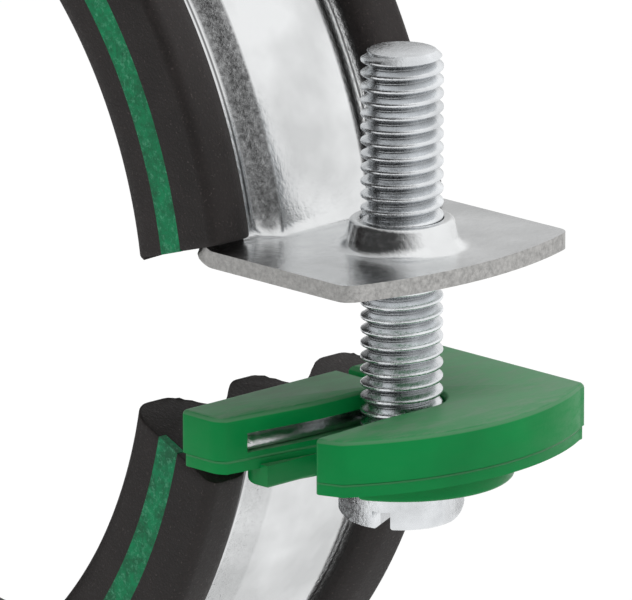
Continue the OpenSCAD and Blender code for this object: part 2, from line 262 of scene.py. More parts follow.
def outline(name, points, closed=True):
    """A loop or chain of edges through points, shaped from a circle with as many corners."""
    deselect_all()
    bpy.ops.mesh.primitive_circle_add(vertices=len(points), radius=MM, location=(0, 0, 0))
    obj = added(name)
    for vertex, point in zip(obj.data.vertices, points):
        vertex.co = point
    if not closed:
        edit(obj, "EDGE")
        bpy.ops.mesh.select_all(action="DESELECT")
        done()
        ends = {0, len(points) - 1}
        for edge in obj.data.edges:
            edge.select = set(edge.vertices) == ends
        bpy.ops.object.mode_set(mode="EDIT")
        bpy.ops.mesh.delete(type="EDGE_FACE")
        done()
    return obj


def clean(obj):
    """Merges doubled corners and turns the faces outwards."""
    edit(obj)
    bpy.ops.mesh.remove_doubles(threshold=MERGE)
    bpy.ops.mesh.normals_make_consistent(inside=False)
    done()


def turned(name, profile, steps=64):
    """A solid turned about Z from a chain of (radius, height) that starts and ends on the axis."""
    obj = outline(name, [(radius, 0, height) for radius, height in profile], closed=False)
    edit(obj)
    bpy.ops.mesh.spin(steps=steps, angle=math.tau, center=(0, 0, 0), axis=(0, 0, 1))
    clean(obj)
    return obj


def move(obj, offset):
    """Moves the whole mesh, with its object left at the origin."""
    edit(obj)
    bpy.ops.transform.translate(value=offset)
    done()


def cut_away(obj, point, normal, fill=True):
    """Cuts off what lies on the side of a plane that normal points to, and closes the cut."""
    edit(obj)
    bpy.ops.mesh.bisect(plane_co=point, plane_no=normal, use_fill=fill, clear_outer=True)
    done()


def apply_modifier(obj, kind, **settings):
    """Adds a modifier to obj with these settings, and applies it."""
    deselect_all()
    obj.select_set(True)
    bpy.context.view_layer.objects.active = obj
    modifier = obj.modifiers.new(kind.title(), kind)
    for key, value in settings.items():
        setattr(modifier, key, value)
    bpy.ops.object.modifier_apply(modifier=modifier.name)


def combine(obj, tool, operation):
    """Adds, subtracts or intersects tool, and then deletes it."""
    apply_modifier(obj, "BOOLEAN", object=tool, operation=operation, solver="EXACT")
    bpy.data.objects.remove(tool)
    if not obj.data.polygons:
        raise RuntimeError(f"{obj.name} has no faces left after a boolean {operation}")


def round_edges(obj, width, degrees=40, segments=2):
    """Rounds every edge that turns by more than degrees."""
    apply_modifier(obj, "BEVEL", width=width, segments=segments, limit_method="ANGLE",
                   angle_limit=math.radians(degrees), harden_normals=False)


def smooth(obj, degrees=35):
    """Shades smooth across every edge that turns by less than degrees."""
    deselect_all()
    obj.select_set(True)
    bpy.context.view_layer.objects.active = obj
    bpy.ops.object.shade_smooth_by_angle(angle=math.radians(degrees))


def round_rim(obj, height, upward, width):
    """Rounds the rims of obj's flat faces that look up or down at a height."""
    edit(obj, "FACE")
    near = 0.02 * MM
    pick_faces(obj, lambda face: face.normal.z * upward > 0.99 and abs(face.center.z - height) < near)
    bpy.ops.mesh.region_to_loop()
    bpy.ops.mesh.bevel(offset=width, segments=3, clamp_overlap=False)
    done()


def flip_down(obj):
    """Turns an upper piece into its lower twin, mirrored through the centre plane."""
    edit(obj)
    bpy.ops.transform.resize(value=(1, 1, -1), center_override=(0, 0, 0))
    bpy.ops.mesh.normals_make_consistent(inside=False)
    done()


def merged_copy(node, name):
    """A copy of a CAD node with its loose triangles joined and its flat faces made whole."""
    deselect_all()
    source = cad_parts[node]
    source.select_set(True)
    bpy.context.view_layer.objects.active = source
    bpy.ops.object.duplicate()
    obj = added(name)
    obj.parent = None
    for key in [key for key in obj.keys() if key.startswith("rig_")]:
        del obj[key]
    obj.data.materials.clear()
    edit(obj)
    bpy.ops.mesh.customdata_custom_splitnormals_clear()
    bpy.ops.mesh.remove_doubles(threshold=MERGE)
    bpy.ops.mesh.dissolve_limited(angle_limit=math.radians(0.5))
    bpy.ops.mesh.normals_make_consistent(inside=False)
    done()
    return obj


def dress(obj, body, node, slot, *materials):
    """Gives a finished piece its materials, ties it to its body and hides its CAD node; the slot is not
    used.
    """
    slots = obj.data.materials
    for place, material in enumerate(materials):
        if place < len(slots):
            slots[place] = material
        else:
            slots.append(material)
    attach(obj, body)
    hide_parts(node)


# Finishes

class Finish:
    """A material's nodes, with short ways to add the ones that these finishes share."""

    def __init__(self, name, colour, roughness, metallic=0.0):
        self.material = bpy.data.materials.new(name)
        self.material.use_nodes = True
        self.tree = self.material.node_tree
        self.shader = self.tree.nodes["Principled BSDF"]
        self.shade("Base Color", (*colour, 1))
        self.shade("Roughness", roughness)
        self.shade("Metallic", metallic)
        self.place = self.add("ShaderNodeTexCoord").outputs["Object"]
        self.height = None

    def add(self, kind, **settings):
        node = self.tree.nodes.new(kind)
        for key, value in settings.items():
            setattr(node, key, value)
        return node

    def feed(self, socket, value):
        if hasattr(value, "links"):
            self.tree.links.new(value, socket)
        else:
            socket.default_value = value

    def shade(self, name, value):
        """Feeds the shader's input of that name."""
        self.feed(self.shader.inputs[name], value)

    def math(self, operation, first, second=0.0, third=0.0):
        node = self.add("ShaderNodeMath", operation=operation)
        for socket, value in zip(node.inputs, (first, second, third)):
            self.feed(socket, value)
        return node.outputs[0]

    def off(self, value, middle):
        """How far a value lies from a middle value."""
        return self.math("ABSOLUTE", self.math("SUBTRACT", value, middle))

    def stretched(self, scale):
        """The place on the piece, stretched by a scale for each axis."""
        node = self.add("ShaderNodeMapping")
        self.feed(node.inputs["Vector"], self.place)
        node.inputs["Scale"].default_value = scale
        return node.outputs[0]

    def noise(self, scale, detail=2.0, roughness=0.5, place=None):
        """Noise with about scale features per metre."""
        node = self.add("ShaderNodeTexNoise")
        self.feed(node.inputs["Vector"], place or self.place)
        node.inputs["Scale"].default_value = scale
        node.inputs["Detail"].default_value = detail
        node.inputs["Roughness"].default_value = roughness
        return node.outputs["Fac"]

    def between(self, value, low, high, to_low=0.0, to_high=1.0):
        """Value mapped from low and high to to_low and to_high, and held at its ends."""
        node = self.add("ShaderNodeMapRange")
        for socket, number in zip(node.inputs, (value, low, high, to_low, to_high)):
            self.feed(socket, number)
        return node.outputs[0]

    def blend(self, share, first, second):
        """A colour between two colours."""
        node = self.add("ShaderNodeMix", data_type="RGBA")
        self.feed(node.inputs[0], share)
        for socket, colour in ((node.inputs[6], first), (node.inputs[7], second)):
            self.feed(socket, colour if hasattr(colour, "links") else (*colour, 1))
        return node.outputs[2]

    def axis(self, letter, source=None):
        """One coordinate of the place on the piece."""
        node = self.add("ShaderNodeSeparateXYZ")
        self.feed(node.inputs[0], source or self.place)
        return node.outputs[letter]

    def bump(self, height, depth, strength=1.0):
        """Adds a relief of this depth in metres to the shader's normal."""
        node = self.add("ShaderNodeBump")
        node.inputs["Distance"].default_value = depth
        self.feed(node.inputs["Strength"], strength)
        self.feed(node.inputs["Height"], height)
        if self.height:
            self.feed(node.inputs["Normal"], self.height)
        self.height = node.outputs[0]
        self.shade("Normal", self.height)


def shaded(colour, factor):
    """A colour made darker or lighter by a factor."""
    return tuple(min(1.0, part * factor) for part in colour)


def zinc_plate(colours, strip):
    """Bright zinc with a faint orange peel, hammered where the crown's sides were drawn, with painted
    shade on those sides and along the fold beside them, stronger on the upper half.
    """
    finish = Finish("zinc_plate", colours.zinc, 0.3, metallic=1)
    cloud = finish.noise(160, 3)
    grain = finish.noise(2600, 3, 0.65)
    dents = finish.noise(2500, 4, 0.75)
    mottled = finish.blend(finish.between(cloud, 0.35, 0.68),
                           shaded(colours.zinc, 0.8), shaded(colours.zinc, 1.06))
    side = finish.math("ABSOLUTE", finish.axis("Y"))
    tall = finish.math("ABSOLUTE", finish.axis("Z"))
    middle = strip.crown_top / 2 + strip.crown_ramp / 2
    fold = strip.crown_top / 2 + strip.crown_ramp + 0.3 * MM
    bend = strip.ear_height + strip.bend_radius
    ring = finish.between(tall, bend - 0.6 * MM, bend + 0.8 * MM)
    ramp = finish.between(finish.off(side, middle), 0.8 * MM, 1.05 * MM, 1.0, 0.0)
    # drawn marks the crown's sides: it carries both their real dent relief and the painted shade on them.
    drawn = finish.math("MULTIPLY", ring, ramp)
    fold_shade = finish.between(finish.off(side, fold), 0.06 * MM, 0.14 * MM, 0.9, 0.0)
    upper_shade_weight = finish.between(finish.axis("Z"), -bend, bend, 0.15, 1.0)
    # Painted shade: a dark zinc colour on the crown's sides and along the fold, weaker on the lower half.
    dark = finish.math("MULTIPLY", finish.math("MULTIPLY", drawn, upper_shade_weight),
                       finish.between(dents, 0.35, 0.65, 1.0, 0.55))
    dark = finish.math("MAXIMUM", dark, finish.math("MULTIPLY", ring, fold_shade))
    finish.shade("Base Color", finish.blend(dark, mottled, shaded(colours.zinc, 0.17)))
    finish.shade("Roughness", finish.between(grain, 0.3, 0.7, 0.14, 0.27))
    finish.bump(finish.noise(420, 2), 0.05 * MM, 0.4)
    finish.bump(grain, 0.05 * MM, 0.55)
    finish.bump(dents, 0.15 * MM, finish.math("MULTIPLY", drawn, 0.8))
    return finish.material


def sheared_edge(colours):
    """Dull, grainy cut edge of the sheet."""
    finish = Finish("sheared_edge", colours.sheared, 0.5, metallic=1)
    grain = finish.noise(2300, 4, 0.75)
    finish.shade("Base Color", finish.blend(
        finish.between(grain, 0.35, 0.65), shaded(colours.sheared, 0.7), shaded(colours.sheared, 1.25)))
    finish.shade("Roughness", finish.between(grain, 0.3, 0.7, 0.4, 0.58))
    finish.bump(grain, 0.06 * MM, 0.6)
    return finish.material


def bolt_steel(colours):
    """Zinc on rolled threads, with painted shade in the thread roots."""
    finish = Finish("bolt_steel", colours.bolt, 0.24, metallic=1)
    cloud = finish.noise(350, 3)
    grain = finish.noise(3000, 3, 0.65)
    aside = finish.math("SUBTRACT", finish.math("ABSOLUTE", finish.axis("X")), SCREW_X)
    squares = finish.math("ADD", finish.math("POWER", aside, 2),
                          finish.math("POWER", finish.axis("Y"), 2))
    out = finish.math("SQRT", squares)
    below_end = finish.math("LESS_THAN", finish.axis("Z"), SCREW_HIGH.z - 0.3 * MM)
    # Painted shade: the thread roots are darkened in colour.
    root = finish.math("MULTIPLY", finish.between(out, 2.4 * MM, 2.7 * MM, 0.45, 0.0), below_end)
    zinc = finish.blend(finish.between(cloud, 0.35, 0.65),
                        shaded(colours.bolt, 0.82), shaded(colours.bolt, 1.08))
    finish.shade("Base Color", finish.blend(root, zinc, shaded(colours.bolt, 0.3)))
    finish.shade("Roughness", finish.between(grain, 0.3, 0.7, 0.17, 0.34))
    finish.bump(grain, 0.05 * MM, 0.55)
    finish.bump(cloud, 0.08 * MM, 0.4)
    return finish.material


def black_rubber(colours):
    """Black rubber with a fine grain and a dusty bloom."""
    finish = Finish("black_rubber", colours.rubber, 0.62)
    bloom = finish.noise(220, 4, 0.6)
    grain = finish.noise(4200, 3, 0.7)
    speck = finish.between(finish.noise(5200, 1), 0.66, 0.76)
    dusty = finish.blend(finish.between(bloom, 0.4, 0.75, 0, 0.7), shaded(colours.rubber, 0.9),
                         shaded(colours.rubber, 1.8))
    dusty = finish.blend(finish.between(grain, 0.5, 0.7, 0, 0.6), dusty, shaded(colours.rubber, 2.6))
    finish.shade("Base Color", finish.blend(speck, dusty, shaded(colours.rubber, 4)))
    finish.shade("Roughness", finish.between(grain, 0.3, 0.7, 0.52, 0.72))
    finish.shade("Specular IOR Level", 0.35)
    finish.bump(grain, 0.08 * MM, 0.7)
    finish.bump(bloom, 0.08 * MM, 0.3)
    return finish.material


def speckled_stripe(colours):
    """Green rubber with pale and dark specks."""
    finish = Finish("speckled_stripe", colours.stripe, 0.6)
    patch = finish.noise(900, 4, 0.7)
    pale = finish.between(finish.noise(2600, 4, 0.75), 0.52, 0.7, 0.0, 0.75)
    mottled = finish.blend(finish.between(patch, 0.38, 0.66), shaded(colours.stripe, 0.55),
                           shaded(colours.stripe, 1.25))
    finish.shade("Base Color", finish.blend(pale, mottled, tuple(colours.speck)))
    finish.shade("Roughness", finish.between(patch, 0.3, 0.7, 0.5, 0.68))
    finish.shade("Specular IOR Level", 0.3)
    finish.bump(patch, 0.06 * MM, 0.5)
    return finish.material


def satin_plastic(colours, seam):
    """Moulded green plastic, greyer on top from real scuffs and from a painted reflection, with painted
    highlights on the rounded rims and the mould's parting line at the height seam.
    """
    finish = Finish("satin_plastic", colours.plastic, 0.36)
    cloud = finish.noise(120, 3)
    scuff = finish.noise(1, 4, 0.75, place=finish.stretched((900, 260, 1400)))
    worn = finish.between(scuff, 0.44, 0.62)
    fresh = finish.blend(finish.between(cloud, 0.3, 0.7),
                         shaded(colours.plastic, 0.86), shaded(colours.plastic, 1.14))
    upward = finish.axis("Z", finish.add("ShaderNodeNewGeometry").outputs["Normal"])
    # Painted reflection and real scuffs: faces that look up turn greyer, more where the scuffs lie.
    lit_and_rubbed = finish.math("MULTIPLY", finish.between(upward, 0.6, 0.95),
                         finish.between(worn, 0, 1, 0.35, 1))
    # Painted highlight: the rounded rims, which face partly up, turn pale.
    edge = finish.math("MULTIPLY", finish.between(upward, 0.2, 0.4),
                       finish.between(upward, 0.8, 0.9, 0.6, 0.0))
    line = finish.between(finish.off(finish.axis("Z"), seam), 0.03 * MM, 0.12 * MM, 1.0, 0.0)
    # The pale mask joins the painted reflection, the painted rim highlight and the real parting line.
    pale = finish.math("MAXIMUM", finish.math("MAXIMUM", lit_and_rubbed, edge),
                       finish.math("MULTIPLY", line, 0.35))
    finish.shade("Base Color", finish.blend(pale, fresh, tuple(colours.scuffed_and_lit)))
    finish.shade("Roughness", finish.math(
        "ADD", finish.between(cloud, 0.3, 0.7, 0.28, 0.38), finish.math("MULTIPLY", worn, 0.14)))
    finish.shade("Specular IOR Level", 0.17)
    finish.bump(scuff, 0.03 * MM, 0.5)
    finish.bump(finish.noise(2400, 2), 0.015 * MM, 0.4)
    finish.bump(line, 0.08 * MM, 0.8)
    return finish.material


# Rubber lining

def lining_side(sizes, strip):
    """Half the rubber's section, from the middle rib to the web under the strip, as (radius, y)."""
    half = sizes.half_width
    crest = half - sizes.rib_edge
    flat = sizes.rib_width / 2
    groove = (crest - flat) / 2
    root = sizes.groove_depth
    steel_in = strip.inner_radius
    steel_out = steel_in + strip.thickness
    fine = 10
    points = []
    for i in range(fine):
        points.append((sizes.pipe_radius + root * ease(i / fine), flat + (groove - flat) * i / fine))
    for i in range(fine + 1):
        points.append((sizes.pipe_radius + root * (1 - ease(i / fine)),
                       groove + (crest - flat - groove) * i / fine))
    back = sizes.face_radius - sizes.pipe_radius
    for i in range(fine + 1):
        turn = math.radians(90 * i / fine)
        points.append((sizes.face_radius - back * math.cos(turn),
                       crest + flat + (sizes.rib_edge - flat) * math.sin(turn)))
    inset = sizes.face_radius + sizes.stripe_inset
    outset = inset + sizes.stripe_height
    points += [(inset, half), (inset, half - sizes.stripe_depth),
               (outset, half - sizes.stripe_depth), (outset, half)]
    corner = (sizes.outer_radius - sizes.lip_round, half - sizes.lip_round)
    points += arc(corner, sizes.lip_round, 90, 0, 8)
    lip_foot = steel_out + sizes.lip_edge
    for i in range(1, 9):
        turn = math.radians(90 * i / 8)
        points.append((lip_foot + (sizes.outer_radius - lip_foot) * math.cos(turn),
                       half - sizes.lip_width + sizes.lip_rise - sizes.lip_rise * math.sin(turn)))
    points += [(steel_out, half - sizes.lip_width), (steel_out, strip.width / 2),
               (steel_in, strip.width / 2)]
    return points


def stripe_corners(points, half):
    """The four corners of the stripe's groove, which follow the last point of the rounded inner edge."""
    start = next(i for i, point in enumerate(points) if abs(point[1] - half) < 0.001 * MM) + 1
    return points[start:start + 4]


def swept_half(name, loop, sizes, end, tilt):
    """Sweeps a closed loop of (radius, y) over the top half and cuts its two ends by sloping planes."""
    margin = math.radians(4)
    spread = math.pi - 2 * margin
    start = [(radius * math.cos(margin), y, radius * math.sin(margin)) for radius, y in loop]
    obj = outline(name, start)
    edit(obj)
    bpy.ops.mesh.spin(steps=sizes.steps, angle=spread, center=(0, 0, 0), axis=(0, 1, 0))
    done()
    for side in (1, -1):
        cut_away(obj, (side * sizes.face_radius, 0, end), (side * math.sin(tilt), 0, -math.cos(tilt)))
    clean(obj)
    return obj


def soften_ends(obj, tilt, width):
    """Rounds the rims of the two cut ends."""
    edit(obj, "FACE")
    for side in (1, -1):
        across = Vector((side * math.sin(tilt), 0, -math.cos(tilt)))
        pick_faces(obj, lambda face: face.normal.dot(across) > 0.9999)
        bpy.ops.mesh.region_to_loop()
        bpy.ops.mesh.bevel(offset=width, segments=2, clamp_overlap=True)
    done()


class CLAMP_OT_linings(bpy.types.Operator):
    """Models the ribbed rubber linings of both halves, and the green stripe set into their front face"""
    bl_idname = "clamp.linings"
    bl_label = "Rubber Linings"

    def execute(self, context):
        sizes = context.scene.clamp_lining
        strip = context.scene.clamp_strip
        colours = context.scene.clamp_colours
        rubber = black_rubber(colours)
        green = speckled_stripe(colours)
        back = lining_side(sizes, strip)
        corners = stripe_corners(back, sizes.half_width)
        plain = [point for point in back if point not in corners]
        loop = plain + [(radius, -y) for radius, y in reversed(back)]
        stripe = [(radius, -y) for radius, y in corners]
        ends = (("upper", sizes.upper_end, sizes.upper_slope),
                ("lower", sizes.lower_end, sizes.lower_slope))
        for half, end, tilt in ends:
            lining = swept_half(f"{half}_lining_rubber", loop, sizes, end, tilt)
            soften_ends(lining, tilt, sizes.end_round)
            inlay = swept_half(f"{half}_stripe_inlay", stripe, sizes, end, tilt)
            for obj, node, slot, material in ((lining, "lining", "lining_rubber", rubber),
                                              (inlay, "stripe", "stripe_rubber", green)):
                if half == "lower":
                    flip_down(obj)
                smooth(obj)
                dress(obj, f"{half}_half", f"{half}_{node}", slot, material)
        return {"FINISHED"}


# Steel strip

def strip_lines(strip):
    """Lines along the strip, from its middle to one edge, as (y, share of the crown's height)."""
    top = strip.crown_top / 2
    lines = [(top * i / 4, 1.0) for i in range(4)]
    lines += [(top + strip.crown_ramp * i / 10, 1 - ease(i / 10)) for i in range(11)]
    foot = top + strip.crown_ramp
    half = strip.ear_width / 2
    corner = half - strip.ear_corner
    lines += [(foot + (corner - foot) * i / 5, 0.0) for i in range(1, 5)]
    lines += [(corner + strip.ear_corner * math.sin(math.radians(turn)), 0.0)
              for turn in (0, 20, 34, 48, 62, 76, 90)]
    return [(-y, lift) for y, lift in reversed(lines[1:])] + lines


def ear_reach(y, strip):
    """How far the ear reaches past the screw's axis at a distance y from its middle."""
    half = strip.ear_width / 2
    bulge = (half * half + strip.ear_bulge ** 2) / (2 * strip.ear_bulge)
    corner = strip.ear_corner
    middle = strip.ear_tip - bulge
    across = math.sqrt((bulge - corner) ** 2 - (half - corner) ** 2)
    if abs(y) <= bulge * (half - corner) / (bulge - corner):
        return middle + math.sqrt(bulge ** 2 - y * y)
    return middle + across + math.sqrt(max(0, corner ** 2 - (abs(y) - half + corner) ** 2))


def strip_point(side, part, share, y, lift, strip):
    """A point on the strip's outer face, at a share of its ring, of its bend or of its ear."""
    spread_from = strip.ear_height + 0.7 * MM
    spread_over = 0.45 * MM
    radius = strip.inner_radius + strip.thickness + strip.crown_height * lift
    centre_z = strip.ear_height + strip.bend_radius
    centre_x = math.sqrt((radius + strip.bend_radius) ** 2 - centre_z ** 2)
    start = math.atan2(centre_z, centre_x)
    if part == "ring":
        angle = math.pi / 2 + (start - math.pi / 2) * share
        x, z = radius * math.cos(angle), radius * math.sin(angle)
    elif part == "bend":
        angle = math.pi + start + (math.pi / 2 - start) * share
        x = centre_x + strip.bend_radius * math.cos(angle)
        z = centre_z + strip.bend_radius * math.sin(angle)
    else:
        x = centre_x + (SCREW_X + ear_reach(y, strip) - centre_x) * share
        z = strip.ear_height
    foot = strip.crown_top / 2 + strip.crown_ramp
    wide = ease((spread_from - z) / spread_over)
    half = strip.width / 2 + (strip.ear_width - strip.width) / 2 * wide
    if abs(y) > foot:
        y = math.copysign(foot + (abs(y) - foot) * (half - foot) / (strip.ear_width / 2 - foot), y)
    return side * x, y, z


def bent_strip(name, strip):
    """The upper strip with both ears, as a grid laid along its outer face and thickened inwards."""
    one_side = [("ring", i / 70) for i in range(71)]
    one_side += [("bend", i / 8) for i in range(1, 9)]
    one_side += [("ear", i / 12) for i in range(1, 13)]
    stations = [(-1, part, share) for part, share in reversed(one_side[1:])]
    stations += [(1, part, share) for part, share in one_side]
    lines = strip_lines(strip)
    deselect_all()
    bpy.ops.mesh.primitive_grid_add(x_subdivisions=len(stations) - 1, y_subdivisions=len(lines) - 1,
                                    size=1, location=(0, 0, 0))
    obj = added(name)
    for vertex in obj.data.vertices:
        station = stations[round((vertex.co.x + 0.5) * (len(stations) - 1))]
        y, lift = lines[round((vertex.co.y + 0.5) * (len(lines) - 1))]
        vertex.co = strip_point(*station, y, lift, strip)
    for _ in range(2):
        obj.data.materials.append(None)
    apply_modifier(obj, "SOLIDIFY", thickness=strip.thickness, offset=-1, use_even_offset=True,
                   use_rim=True, material_offset_rim=1)
    clean(obj)
    return obj


CUTTER_HEIGHT = 30 * MM


def collar_blank(name, side, strip):
    """The collar as a solid plug that reaches down into its ear."""
    rim = strip.collar_rim
    foot = strip.ear_height
    sunk = foot - strip.thickness / 2
    flare = strip.flare_radius
    reach = strip.collar_radius + strip.collar_taper + flare
    profile = [(0, sunk), (reach, sunk)]
    profile += arc((reach, foot + flare), flare, 270, 195, 10)
    top = foot + strip.collar_height
    profile += arc((strip.collar_radius - 0.75 * rim, top - rim), rim, 15, 90, 6)
    profile += [(0, top)]
    obj = turned(name, profile)
    move(obj, (side * SCREW_X, 0, 0))
    return obj


def upright_pin(name, x, radius):
    """A tall cylinder about a screw's axis, to cut with."""
    deselect_all()
    bpy.ops.mesh.primitive_cylinder_add(vertices=64, radius=radius, depth=2 * CUTTER_HEIGHT,
                                        location=(x, 0, 0))
    return added(name)


def swing_cutter(name, half):
    """The space that the lock screw sweeps through the lower ear as it swings, about the pivot's axis."""
    reach = 2 * SCREW_X
    travel = 20 * MM
    tall = CUTTER_HEIGHT
    obj = outline(name, [(SCREW_X - half, 0, -tall), (SCREW_X + half, 0, -tall),
                         (SCREW_X + half, 0, tall), (SCREW_X - half, 0, tall)])
    edit(obj)
    bpy.ops.mesh.edge_face_add()
    bpy.ops.mesh.spin(steps=24, angle=math.asin(travel / reach), center=(-SCREW_X, 0, 0), axis=(0, 0, 1))
    clean(obj)
    if min(vertex.co.y for vertex in obj.data.vertices) > -MM:
        raise RuntimeError("the slot's cutter has turned to the wrong side")
    return obj


class CLAMP_OT_strips(bpy.types.Operator):
    """Models both steel strips with their crowns, bends and ears, the two collars and the open slot"""
    bl_idname = "clamp.strips"
    bl_label = "Steel Strips"

    def execute(self, context):
        strip = context.scene.clamp_strip
        colours = context.scene.clamp_colours
        finishes = (zinc_plate(colours, strip), sheared_edge(colours))
        upper = bent_strip("upper_band_sheet", strip)
        lower = bent_strip("lower_band_sheet", strip)
        for side in (1, -1):
            combine(upper, collar_blank("collar", side, strip), "UNION")
            combine(upper, upright_pin("bore", side * SCREW_X, strip.bore_radius), "DIFFERENCE")
        flip_down(lower)
        combine(lower, upright_pin("pivot_hole", -SCREW_X, strip.pivot_hole), "DIFFERENCE")
        combine(lower, upright_pin("slot_end", SCREW_X, strip.slot_half), "DIFFERENCE")
        combine(lower, swing_cutter("slot", strip.slot_half), "DIFFERENCE")
        for obj, half in ((upper, "upper"), (lower, "lower")):
            round_edges(obj, strip.edge_round, degrees=60)
            smooth(obj, 32)
            dress(obj, f"{half}_half", f"{half}_band", "band_steel", *finishes)
        return {"FINISHED"}


# Hanger nut

class CLAMP_OT_hanger_nut(bpy.types.Operator):
    """Models the hexagonal nut on top, from the solid with rounded edges"""
    bl_idname = "clamp.hanger_nut"
    bl_label = "Hanger Nut"

    def execute(self, context):
        obj = merged_copy("hanger_nut", "hanger_nut_body")
        round_edges(obj, 0.2 * MM)
        smooth(obj, 40)
        dress(obj, "upper_half", "hanger_nut", "nut_steel", bolt_steel(context.scene.clamp_colours))
        return {"FINISHED"}


# Screws

def thread_blank(name, sizes, low, high):
    """A rolled right-hand thread between two heights, closed at both ends."""
    root, crest, pitch = sizes.root_radius, sizes.radius, sizes.pitch
    flank = ((0, 0), (0.06, 0.012), (0.17, 0.16), (0.3, 0.55), (0.41, 0.88), (0.46, 0.97), (0.52, 1),
             (0.6, 1), (0.66, 0.97), (0.71, 0.88), (0.82, 0.55), (0.95, 0.16), (1.0, 0))
    start = low - pitch
    chain = [(root + (crest - root) * rise, 0, start + pitch * share) for share, rise in flank]
    obj = outline(name, chain, closed=False)
    turns = math.ceil((high - low) / pitch) + 2
    apply_modifier(obj, "SCREW", angle=math.tau, screw_offset=pitch, iterations=turns, axis="Z",
                   steps=sizes.steps, render_steps=sizes.steps, use_merge_vertices=True,
                   merge_threshold=MERGE / 4)
    clean(obj)
    cut_away(obj, (0, 0, low), (0, 0, -1))
    cut_away(obj, (0, 0, high), (0, 0, 1))
    clean(obj)
    return obj


def screw_head(name, sizes, top):
    """The hexagonal head with its rounded edge and its slot, under the height top."""
    corner = sizes.head_across / 2 / math.cos(math.radians(30))
    low = top - sizes.head_height
    deselect_all()
    bpy.ops.mesh.primitive_cylinder_add(vertices=6, radius=corner, depth=sizes.head_height,
                                        location=(0, 0, low + sizes.head_height / 2),
                                        rotation=(0, 0, sizes.head_turn + math.radians(30)))
    head = added(name)
    bpy.ops.object.transform_apply(location=True, rotation=True, scale=True)
    reach = corner + 0.02 * MM
    edge = sizes.head_round
    envelope = [(0, low)] + arc((reach - edge, low + edge), edge, 270, 360, 8)
    envelope += [(reach, top + MM), (0, top + MM)]
    combine(head, turned("head_envelope", envelope, 96), "INTERSECT")
    deselect_all()
    bpy.ops.mesh.primitive_cube_add(size=1, location=(0, 0, low), rotation=(0, 0, sizes.head_turn))
    slot = added("head_slot")
    slot.scale = (20 * MM, sizes.driver_width, sizes.driver_depth * 2)
    bpy.ops.object.transform_apply(location=True, rotation=True, scale=True)
    combine(head, slot, "DIFFERENCE")
    round_edges(head, sizes.head_edge, degrees=30)
    return head


def whole_screw(name, x, top, sizes):
    """A screw with its head down, whose bearing face is at the height top."""
    bevel = sizes.tip_bevel
    tip = top + sizes.shank
    obj = thread_blank(name, sizes, top - 0.4 * MM, tip + 0.5 * MM)
    reach = sizes.radius + 0.05 * MM
    sunk = top - 0.3 * MM
    face = sizes.radius - bevel
    envelope = [(0, sunk), (reach, sunk), (reach, tip - bevel * 1.15),
                (face, tip - 0.05 * MM), (face - 0.12 * MM, tip), (0, tip)]
    combine(obj, turned("screw_envelope", envelope, sizes.steps), "INTERSECT")
    head = screw_head("head", sizes, top)
    deselect_all()
    head.select_set(True)
    obj.select_set(True)
    bpy.context.view_layer.objects.active = obj
    bpy.ops.object.join()
    move(obj, (x, 0, 0))
    smooth(obj, 38)
    return obj


class CLAMP_OT_screws(bpy.types.Operator):
    """Models the lock screw and the pivot screw with their rolled threads and slotted heads"""
    bl_idname = "clamp.screws"
    bl_label = "Screws"

    def execute(self, context):
        sizes = context.scene.clamp_screws
        finish = bolt_steel(context.scene.clamp_colours)
        for node, side in (("lock_screw", 1), ("pivot_screw", -1)):
            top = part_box(node)[0].z + sizes.head_height
            obj = whole_screw(f"{node}_steel", side * SCREW_X, top, sizes)
            dress(obj, node, node, "screw_steel", finish)
        return {"FINISHED"}


# Plastic clip and washer

def clip_tab(sizes, foot):
    """The small rounded tab under the clip's inner block, beside the screw's slot."""
    low, high = foot + sizes.tab_low, foot + sizes.tab_high
    edge, side = SCREW_X - sizes.tab_edge, SCREW_X - sizes.tab_side
    small, large = sizes.back_corner, sizes.front_corner
    corners = [(edge, -sizes.tab_back)]
    corners += arc((side + small, -sizes.tab_back - small), small, 90, 180, 5)
    corners += arc((side + large, -sizes.tab_front + large), large, 180, 270, 8)
    corners += [(edge, -sizes.tab_front)]
    obj = outline("lock_clip_tab", [(x, y, low) for x, y in corners])
    edit(obj)
    bpy.ops.mesh.edge_face_add()
    bpy.ops.mesh.extrude_region_move(TRANSFORM_OT_translate={"value": (0, 0, high - low)})
    clean(obj)
    round_rim(obj, low, -1, sizes.under_round)
    return obj


class CLAMP_OT_clip(bpy.types.Operator):
    """Finishes the green snap clip and the pivot's washer with rounded moulded edges"""
    bl_idname = "clamp.clip"
    bl_label = "Clip and Washer"

    def execute(self, context):
        sizes = context.scene.clamp_snap
        low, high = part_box("lock_clip")
        seam = low.z + (high.z - low.z) * sizes.seam_share
        plastic = satin_plastic(context.scene.clamp_colours, seam)
        clip = merged_copy("lock_clip", "lock_clip_moulding")
        round_rim(clip, high.z, 1, sizes.top_round)
        round_rim(clip, low.z, -1, sizes.under_round)
        tab = clip_tab(sizes, low.z)
        washer = merged_copy("pivot_washer", "pivot_washer_moulding")
        round_edges(washer, sizes.washer_round, degrees=35, segments=3)
        for obj in (clip, tab):
            smooth(obj, 40)
            dress(obj, "lower_half", "lock_clip", "clip_plastic", plastic)
        smooth(washer, 40)
        dress(washer, "travel_washer", "pivot_washer", "clip_plastic", plastic)
        return {"FINISHED"}


# Stage

